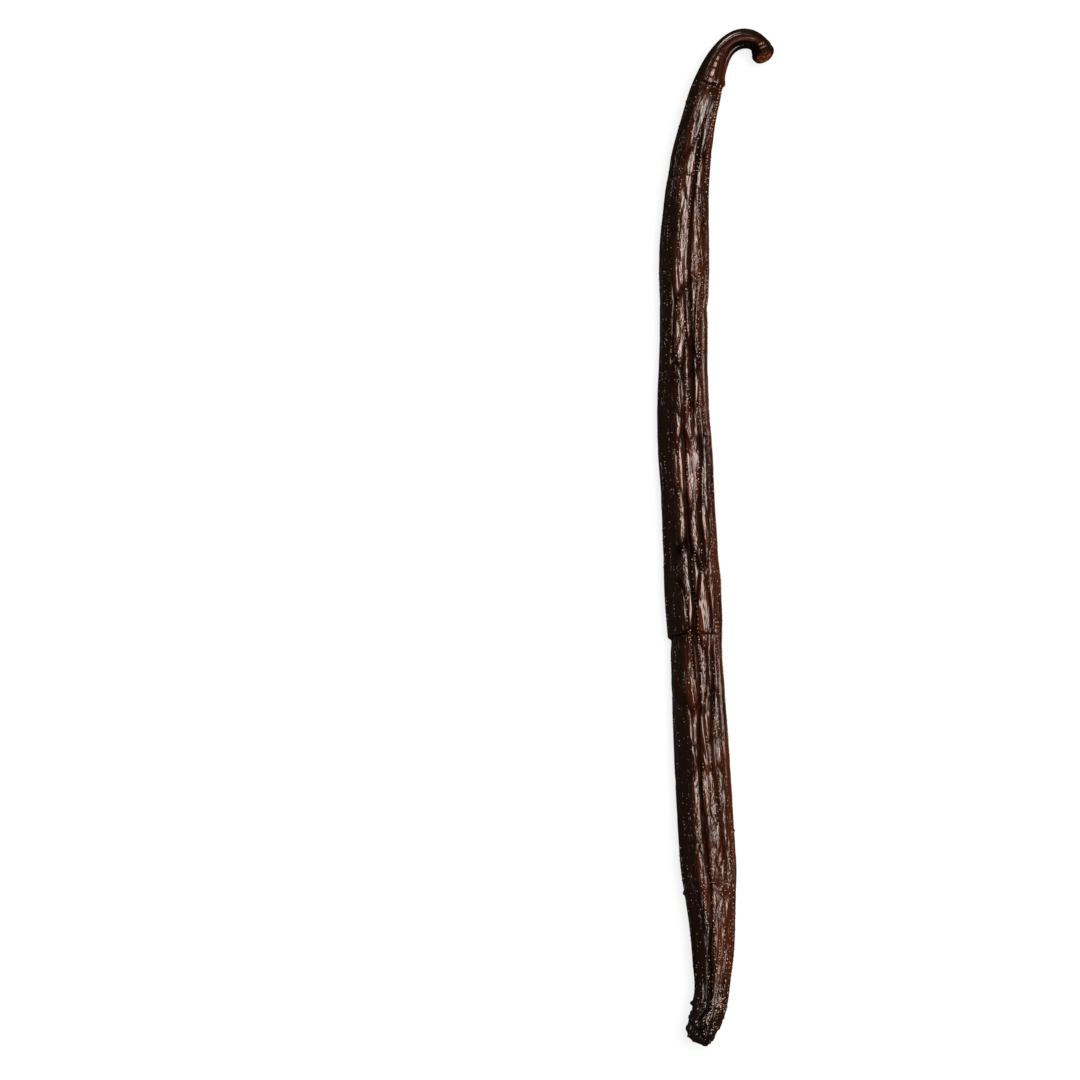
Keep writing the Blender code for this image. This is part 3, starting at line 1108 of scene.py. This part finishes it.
def skin_height(n):
    """Height of the facets and the grain, in metres. Facets are low at both ends."""
    large = n.facets(n.straight, *LARGE_FACETS)
    left = n.facets(n.slanted(n.straight, -SMALL_SLANT), *SMALL_FACETS)
    right = n.facets(n.slanted(n.straight, SMALL_SLANT), *SMALL_FACETS)
    turned = n.ramp(n.noise(n.straight, TURNS), 0.46, 0.54)
    small = n.math("MULTIPLY_ADD", turned, n.math("SUBTRACT", right, left), left)
    busy = n.ramp(n.noise(n.straight, CROWDS), 0.42, 0.62, 0.10, 1.0)
    height = n.math("ADD", large, n.product(small, busy))
    before_neck = n.ramp(n.along, *FACETS_SHRINK, 1.0, 0.3)
    past_tip = n.ramp(n.along, *FACETS_GROW, 0.4, 1.0)
    grain = n.noise(n.straight, GRAIN, detail=4.0, roughness=0.6)
    height = n.product(height, before_neck, past_tip)
    return n.math("ADD", height, n.product(grain, GRAIN_HEIGHT))


def dull_neck(n):
    """Dull strands on the neck and the hook, but for a shiny patch, and a dull collar."""
    strands = n.ramp(n.noise(n.straight, STRANDS, detail=1.0), 0.47, 0.60, 0.95, 0.0)
    off_middle = n.math("ABSOLUTE", n.math("SUBTRACT", n.rightward, PATCH_MIDDLE))
    patch = n.product(
        n.ramp(n.along, *PATCH_BEGINS),
        n.ramp(n.along, *PATCH_ENDS, 1.0, 0.0),
        n.ramp(off_middle, *PATCH_SIDES, 1.0, 0.0),
    )
    off_patch = n.math("SUBTRACT", 1.0, patch)
    neck = n.product(strands, off_patch, n.ramp(n.along, *NECK_DULLS))
    collar_begins = n.ramp(n.along, *COLLAR_DULLS, 0.0, 0.92)
    return n.most(neck, n.product(collar_begins, n.ramp(n.along, *COLLAR_CLEARS, 1.0, 0.0)))


def dull_tip(n):
    """Dull skin on the dark left side, near the blossom end."""
    begins = n.ramp(n.along, *TIP_DULLS)
    ends = n.ramp(n.along, *TIP_CLEARS, 0.8, 0.0)
    return n.product(ends, begins, n.ramp(n.past_edge, *DARK_TIP_SIDE, 1.0, 0.0))


def skin_gloss(n):
    """The oil's shine, dulled at both ends, down the right flank and in the folds."""
    right_flank = n.ramp(n.rightward, *RIGHT_FLANK, 0.0, 0.6)
    dull = n.most(dull_neck(n), right_flank, dull_tip(n), n.ramp(n.folded, 0.15, 0.70))
    return n.blend(dull, GLOSS, NO_GLOSS)


def skin_material():
    """Near black to red-brown, darker in the folds, oily; dry and orange at the cut."""
    n = SkinNodes()
    bump = n.add("ShaderNodeBump", {"Height": skin_height(n), "Strength": 1.0, "Distance": 1.0})
    looks = {
        "Base Color": n.blend(n.cut_share, skin_colour(n), cut_colour(n)),
        "Roughness": skin_roughness(n),
        "Specular Tint": skin_gloss(n),
        "Normal": bump.outputs[0],
        "IOR": OIL_IOR,
    }
    n.fill(n.shader, looks)
    return n.material


def bead_material():
    """Pale, slightly amber drops of dried oil."""
    n = Nodes("oil_beads")
    place = n.add("ShaderNodeTexCoord").outputs["Object"]
    tint = n.ramp(n.noise(place, BEAD_TINTS, detail=1.0), 0.2, 0.6, 0.6, 1.0)
    # The paleness attribute is lowered on the pod's dark side, as painted shade.
    tint = n.product(tint, n.attribute("pale"))
    rough = n.ramp(n.noise(place, BEAD_GRAIN), 0.3, 0.7, 0.25, 0.5)
    n.fill(n.shader, {"Base Color": n.blend(tint, BEAD_DARK, BEAD_PALE), "Roughness": rough})
    return n.material


# ---------------------------------------------------------------------------
# Table, light and camera, in metres.
TABLE_SIZE = 6.0
TABLE_LOOKS = {
    "Base Color": (0.15, 0.16, 0.165, 1.0),
    "Roughness": 1.0,
    "Specular IOR Level": 0.0,
    "Emission Color": (1.0, 1.0, 1.0, 1.0),
    "Emission Strength": 0.82,
}


def make_floor():
    """A white table that glows a little, as paper on a light table does."""
    bpy.ops.mesh.primitive_plane_add(size=TABLE_SIZE)
    floor = bpy.context.object
    floor.name = "table"
    n = Nodes("table_white")
    n.fill(n.shader, TABLE_LOOKS)
    floor.data.materials.append(n.material)
    floor.visible_glossy = False


# Two strips beside the pod, in millimetres: height over the table, first and last place
# along the pod, points of each edge, width past the pod's edge, and the share of its half
# width where they begin.
CARD_HEIGHT = 0.3
CARD_SPAN = (16.0, 148.0)
CARD_POINTS = 80
CARD_WIDTH = 2.6
CARD_START = 0.8

BLACK = (0.0, 0.0, 0.0, 1.0)

# The strip on each side: which side, colour and strength.
CARDS = {
    "right_card": (1.0, (1.0, 0.86, 0.80, 1.0), 0.60),
    "left_card": (-1.0, (0.95, 1.0, 1.0, 1.0), 0.16),
}


def make_cards(shift):
    """Pale strips along the pod's sides, seen only as thin gleams along its edges."""
    along = np.linspace(*CARD_SPAN, CARD_POINTS)
    middle = middle_line(along)
    side, _ = cross_frame(along)
    half_width, _ = half_sizes(along)
    faces = [(i, i + CARD_POINTS, i + CARD_POINTS + 1, i + 1) for i in range(CARD_POINTS - 1)]
    for name, (which, colour, strength) in CARDS.items():
        near = middle + which * CARD_START * half_width[:, None] * side
        far = middle + which * (half_width[:, None] + CARD_WIDTH) * side
        points = np.concatenate((near, far)) + shift
        points[:, 2] = CARD_HEIGHT
        mesh = bpy.data.meshes.new(name)
        mesh.from_pydata((points * MM).tolist(), [], faces)
        card = bpy.data.objects.new(name, mesh)
        bpy.context.scene.collection.objects.link(card)
        n = Nodes(name)
        looks = {"Base Color": BLACK, "Emission Color": colour, "Emission Strength": strength}
        n.fill(n.shader, looks)
        mesh.materials.append(n.material)
        card.visible_camera = False
        card.visible_diffuse = False
        card.visible_shadow = False


# Place and colour of the softbox.
SOFTBOX_PLACE = (0.30, 0.20, 1.21)
SOFTBOX_COLOUR = (1.0, 0.91, 0.87)

# The softbox is brightest in its middle: name, shape, width and power of each layer.
SOFTBOX_LAYERS = (
    ("wide", "SQUARE", 0.95, 18.5),
    ("middle", "DISK", 0.70, 8.0),
    ("hot spot", "DISK", 0.38, 1.1),
)
LAYER_GAP = 0.004


def make_softbox():
    """One large softbox, above and to the right of the pod."""
    for k, (name, shape, size, power) in enumerate(SOFTBOX_LAYERS):
        lamp = bpy.data.lights.new("softbox " + name, "AREA")
        lamp.shape = shape
        lamp.size = size
        lamp.energy = power
        lamp.color = SOFTBOX_COLOUR
        softbox = bpy.data.objects.new("softbox " + name, lamp)
        softbox.location = SOFTBOX_PLACE
        aim = softbox.location.to_track_quat("Z", "Y")
        softbox.location -= k * LAYER_GAP * softbox.location.normalized()
        softbox.rotation_euler = aim.to_euler()
        bpy.context.scene.collection.objects.link(softbox)


ROOM_LIGHT = 0.02


def make_world():
    """A dim grey room."""
    world = bpy.data.worlds.new("room")
    world.use_nodes = True
    room = world.node_tree.nodes["Background"]
    room.inputs["Color"].default_value = (1.0, 1.0, 1.0, 1.0)
    room.inputs["Strength"].default_value = ROOM_LIGHT
    bpy.context.scene.world = world
    bpy.context.scene.view_settings.view_transform = "Standard"


# Width of the photo's frame, the camera's lens and sensor in millimetres, and how far
# the picture's middle lies from the pod's.
FRAME_WIDTH = 0.1728
LENS = 150.0
SENSOR = 36.0
LEFT_OF_POD = 0.0281
BELOW_POD = 0.0006


def make_camera():
    """Straight down, with the pod to the right of the picture's middle."""
    low, high = CAD_BOX
    data = bpy.data.cameras.new("camera")
    data.lens = LENS
    data.sensor_width = SENSOR
    camera = bpy.data.objects.new("camera", data)
    middle = (low + high) / 2
    distance = FRAME_WIDTH * LENS / SENSOR
    camera.location = (middle.x - LEFT_OF_POD, middle.y - BELOW_POD, middle.z + distance)
    bpy.context.scene.collection.objects.link(camera)
    bpy.context.scene.camera = camera


def plain_middle():
    """Middle of the smooth pod's box, on the table, before it is moved to the CAD pod."""
    along, angle = np.meshgrid(ring_places(), round_angles(), indexing="ij")
    points = smooth_surface(along, angle)
    middle = 0.5 * (points.min(axis=(0, 1)) + points.max(axis=(0, 1)))
    return middle * (1.0, 1.0, 0.0)


def dress_pod():
    """Builds the skin and the beads over the CAD pod, which they replace."""
    low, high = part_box("pod")
    middle = np.array((low + high) / 2) / MM
    shift = middle - plain_middle()
    shift[2] = low.z / MM
    pieces = (build_skin(shift), skin_material()), (build_beads(shift), bead_material())
    for piece, material in pieces:
        bpy.context.scene.collection.objects.link(piece)
        piece.data.materials.append(material)
        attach(piece, "root")
        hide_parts("pod")
    return shift


pod_shift = dress_pod()
make_floor()
make_cards(pod_shift)
make_softbox()
make_world()
make_camera()
